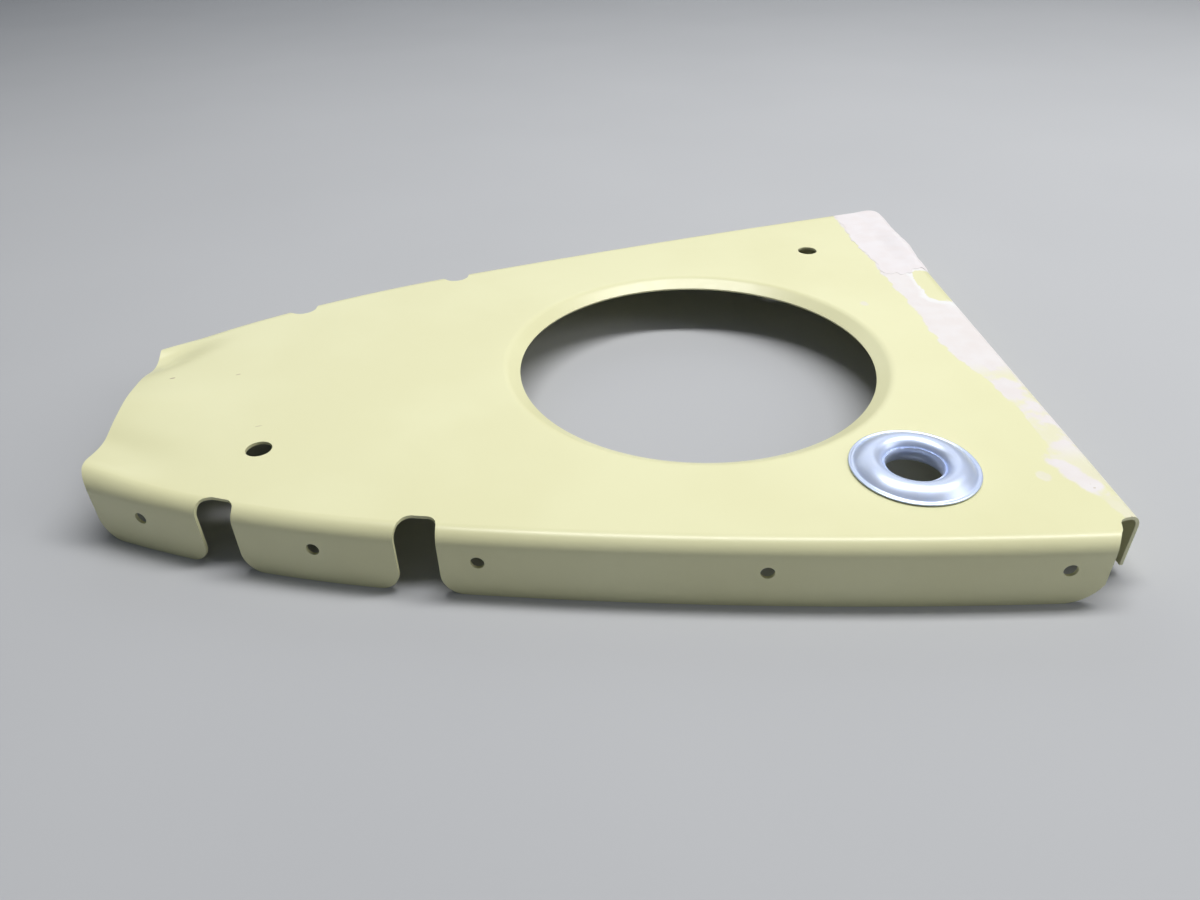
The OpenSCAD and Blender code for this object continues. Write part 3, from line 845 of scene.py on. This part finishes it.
def turned(profile, count, shift):
    """Surface of revolution about the grommet's axis: each section point carried round a circle.

    The shift adds to the radius and the height of every point at every angle.
    """
    angle = np.linspace(0.0, 2.0 * np.pi, count, endpoint=False)
    radius = profile[:, None, 0] + shift[0]
    x = GROMMET_AT[0] + radius * np.cos(angle)
    y = GROMMET_AT[1] + radius * np.sin(angle)
    z = WEB_Z + np.broadcast_to(profile[:, None, 1] + shift[1], x.shape)
    points = np.stack([x, y, z], axis=2)
    index = np.arange(points.shape[0] * count).reshape(-1, count)
    after = np.roll(index, -1, axis=1)
    above = np.roll(index, -1, axis=0)
    quads = np.stack([index, after, np.roll(after, -1, axis=0), above], axis=2)
    return points.reshape(-1, 3), quads.reshape(-1, 4)


washer = quad_mesh("grommet_washer_bright", *turned(washer_profile(), WASHER_SIDES, (0.0, 0.0)))
soft_edges(washer, METAL_SHARP_DEGREES)

# Bright stamped aluminium: a soft cloud of polish and small dull nicks, in a pale blue tint that is a
# painted reflection of blue surroundings
# Both colours are painted blue reflection: paler where polished, deeper blue where dull
METAL_PALE_REFLECTED_BLUE = (0.70, 0.79, 1.0, 1.0)
METAL_DEEP_REFLECTED_BLUE = (0.60, 0.71, 1.0, 1.0)
bright, bright_in, bright_out = node_group(
    "aluminium_painted_blue_reflection",
    [PLACE_SOCKET, ("Polished", "NodeSocketFloat", 0.2), ("Dull", "NodeSocketFloat", 0.4)],
    FINISH_SOCKETS)
cloud = noise(bright, bright_in.outputs["Place"], 240.0, 3.0)
nick = ramp(bright, noise(bright, bright_in.outputs["Place"], 1400.0, 2.0), 0.66, 0.74, 0.0, 1.0)
sheen = calc(bright, "ADD", ramp(bright, cloud, 0.3, 0.7, 0.0, 0.6), calc(bright, "MULTIPLY", nick, 0.4))
# The colour is painted blue reflection, mixed by the same polish cloud and nicks
bright.links.new(blend_colour(bright, sheen, METAL_PALE_REFLECTED_BLUE, METAL_DEEP_REFLECTED_BLUE), bright_out.inputs["Color"])
gloss = blend_number(bright, sheen, bright_in.outputs["Polished"], bright_in.outputs["Dull"])
bright.links.new(gloss, bright_out.inputs["Roughness"])
bright.links.new(two_parts(bright, cloud, 0.3, nick, -0.4), bright_out.inputs["Height"])


def aluminium(name, polished, dull):
    """Metal material from the shared bright finish, whose blue tint is a painted reflection, with its own
    range of gloss.
    """
    metal, tree, shader, coords = blank_material(name)
    finish = finish_node(tree, bright, coords)
    finish.inputs["Polished"].default_value = polished
    finish.inputs["Dull"].default_value = dull
    tree.links.new(finish.outputs["Color"], shader.inputs["Base Color"])
    tree.links.new(finish.outputs["Roughness"], shader.inputs["Roughness"])
    shader.inputs["Metallic"].default_value = 0.55
    shader.inputs["Coat Weight"].default_value = 0.6
    shader.inputs["Coat Roughness"].default_value = 0.32
    emboss(tree, shader, finish.outputs["Height"], 0.2, 0.00008)
    return metal


washer.data.materials.append(aluminium("washer_metal_finish", 0.36, 0.46))
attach(washer, "root")
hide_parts("grommet_washer")

# Grommet eyelet
# A drawn aluminium eyelet pushed up from below: a rolled flange under the web, and a thin barrel whose
# end was flared over the washer by a setting tool, which split its edge into a ragged bright ring.

BORE_R = 4.98
BARREL_R = BORE_R + GROMMET_T
FLARE_R = 1.2
FLARE_Z = -0.31
FLARE_TURN = math.radians(38.0)
ROLL_R = 2.35
FLARE_ROWS = 12
BORE_ROWS = 5
ROLL_ROWS = 28
EYELET_SIDES = 320
SPLIT_OUT = 0.05
SPLIT_UP = 0.12
SPLIT_TURN = 1.7
SPLIT_HALF = 0.9
# Waves of the split edge: height, count round the bore and phase
RAG_WAVES = ((1.0, 7.0, 0.4), (0.8, 17.0, 2.1), (0.7, 29.0, 0.0), (0.5, 53.0, 1.0))


def eyelet_face(bore_r, flare_r, roll_r):
    """One face of the eyelet as radius and height: the flare's arc, the barrel, then the roll's arc."""
    flare = np.pi - np.linspace(FLARE_TURN, 0.0, FLARE_ROWS)
    roll = np.linspace(np.pi, 2.0 * np.pi, ROLL_ROWS)
    flare_at = BARREL_R + FLARE_R
    roll_at = BORE_R + ROLL_R
    barrel_r = np.full(BORE_ROWS, bore_r)
    barrel_z = np.linspace(FLARE_Z, -SHEET_T, BORE_ROWS + 2)[1:-1]
    radius = np.concatenate([flare_at + flare_r * np.cos(flare), barrel_r, roll_at + roll_r * np.cos(roll)])
    height = np.concatenate([FLARE_Z + flare_r * np.sin(flare), barrel_z, roll_r * np.sin(roll) - SHEET_T])
    return np.stack([radius, height], axis=1)


def eyelet_profile():
    """Closed section of the eyelet, and how far each point takes part in the ragged edge.

    Down the flare and the bore, round the outside of the rolled flange, and back along the inner faces.
    """
    seen = eyelet_face(BORE_R, FLARE_R + GROMMET_T, ROLL_R)
    back = eyelet_face(BARREL_R, FLARE_R, ROLL_R - GROMMET_T)
    rag = np.concatenate([smooth_step(np.linspace(1.0, -0.6, FLARE_ROWS)), np.zeros(BORE_ROWS + ROLL_ROWS)])
    return np.concatenate([seen, back[::-1]]), np.concatenate([rag, rag[::-1]])


def ragged_edge(angle):
    """Split edge of the flare: sine waves of unlike counts, with flat crests, deepest on the far side."""
    far_side = 0.3 + 0.7 * np.exp(-((angle - SPLIT_TURN) / SPLIT_HALF) ** 2)
    return far_side * np.clip(waves(RAG_WAVES, angle) / 2.0, -1.0, 0.5)


section, rag = eyelet_profile()
split = rag[:, None] * ragged_edge(np.linspace(0.0, 2.0 * np.pi, EYELET_SIDES, endpoint=False))
eyelet_shape = turned(section, EYELET_SIDES, (SPLIT_OUT * split, SPLIT_UP * split))
eyelet = quad_mesh("grommet_eyelet_bright", *eyelet_shape)
soft_edges(eyelet, METAL_SHARP_DEGREES)
eyelet.data.materials.append(aluminium("eyelet_metal_finish", 0.34, 0.46))
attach(eyelet, "root")
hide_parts("grommet_eyelet")

# Floor
# A wide matt sheet of pale paper that the rib lies on.
# Its grey drifts only a little, so that it stays plain under the light.

HALF_FLOOR = 3.0
PAPER_DARK = (0.45, 0.46, 0.48, 1.0)
PAPER_PALE = (0.49, 0.50, 0.52, 1.0)
floor_corners = [(-HALF_FLOOR, -HALF_FLOOR, 0.0), (HALF_FLOOR, -HALF_FLOOR, 0.0),
                 (HALF_FLOOR, HALF_FLOOR, 0.0), (-HALF_FLOOR, HALF_FLOOR, 0.0)]
floor_mesh = bpy.data.meshes.new("floor")
floor_mesh.from_pydata(floor_corners, [], [(0, 1, 2, 3)])
floor = bpy.data.objects.new("floor", floor_mesh)
bpy.context.scene.collection.objects.link(floor)
paper, tree, shader, coords = blank_material("pale_paper")
paper_colour = blend_colour(tree, noise(tree, coords, 9.0, 2.0), PAPER_DARK, PAPER_PALE)
tree.links.new(paper_colour, shader.inputs["Base Color"])
shader.inputs["Roughness"].default_value = 0.85
shader.inputs["Specular IOR Level"].default_value = 0.2
floor.data.materials.append(paper)

# Light
# A long soft box overhead, as the patch of light under the lightening hole and the highlight along the
# near bend show, a fill from the right, and a tall pale panel behind that the metal mirrors.


def soft_box(name, place, aim, size, power, colour):
    """Rectangular area light at a place, turned to face a point, with its long side level."""
    lamp = bpy.data.lights.new(name, "AREA")
    lamp.shape = "RECTANGLE"
    lamp.size, lamp.size_y = size
    lamp.energy = power
    lamp.color = colour
    holder = bpy.data.objects.new(name, lamp)
    bpy.context.scene.collection.objects.link(holder)
    way = np.array(aim) - np.array(place)
    lean = math.acos(-way[2] / np.linalg.norm(way))
    holder.location = place
    holder.rotation_euler = (lean, 0.0, math.atan2(way[1], way[0]) - math.pi / 2)
    holder.visible_camera = False


soft_box("overhead_box", (0.25, 0.10, 0.80), (0.25, 0.0, 0.0), (0.94, 0.16), 7.55, (1.0, 0.99, 0.97))
soft_box("right_fill", (0.95, -0.25, 0.55), (0.0, 0.0, 0.0), (0.60, 0.60), 2.5, (1.0, 0.99, 0.98))
soft_box("back_panel", (0.0, 0.95, 0.62), (0.0, 0.0, 0.0), (1.30, 0.50), 2.1, (0.95, 0.98, 1.0))
world = bpy.data.worlds.new("even_fill")
bpy.context.scene.world = world
world.use_nodes = True
sky = world.node_tree.nodes["Background"]
sky.inputs["Color"].default_value = (0.80, 0.88, 1.0, 1.0)
sky.inputs["Strength"].default_value = 0.12
bpy.context.scene.view_settings.view_transform = "Standard"

# Camera
# Close to the near flange and looking down over the web.
# Its place, angles and focal length were fitted to the outline in the photograph.

CAMERA_AT = (3.15, -184.454, 108.5)
FOCAL_PX = 878.0
IMAGE_W_PX = 1200.0
PITCH = math.radians(34.6)
ROLL = math.radians(-1.73)
RIB_TURN = math.radians(-1.965)
SENSOR_MM = 36.0


def camera_matrix():
    """Camera axes in the rib's frame from the web's normal as the camera sees it.

    The plan axes are the camera's right and depth laid into the web, then turned to the rib's own X.
    """
    up = np.array([math.sin(ROLL) * math.cos(PITCH), -math.cos(ROLL) * math.cos(PITCH), -math.sin(PITCH)])
    right = np.array([1.0, 0.0, 0.0]) - up * up[0]
    right = right / np.linalg.norm(right)
    ahead = np.cross(up, right)
    ahead = ahead * np.sign(ahead[2])
    seen = np.stack([right, ahead, up])
    c, s = math.cos(RIB_TURN), math.sin(RIB_TURN)
    own = np.array([[c, -s, 0.0], [s, c, 0.0], [0.0, 0.0, 1.0]]) @ seen
    matrix = np.eye(4)
    matrix[:3, 0] = own[:, 0]
    matrix[:3, 1] = -own[:, 1]
    matrix[:3, 2] = -own[:, 2]
    matrix[:3, 3] = np.array(CAMERA_AT) * MM
    return matrix


lens = bpy.data.cameras.new("photo_camera")
lens.sensor_fit = "HORIZONTAL"
lens.sensor_width = SENSOR_MM
lens.lens = FOCAL_PX / IMAGE_W_PX * SENSOR_MM
lens.clip_start = 0.005
camera = bpy.data.objects.new("photo_camera", lens)
bpy.context.scene.collection.objects.link(camera)
camera.matrix_world = camera_matrix().T.tolist()
bpy.context.scene.camera = camera
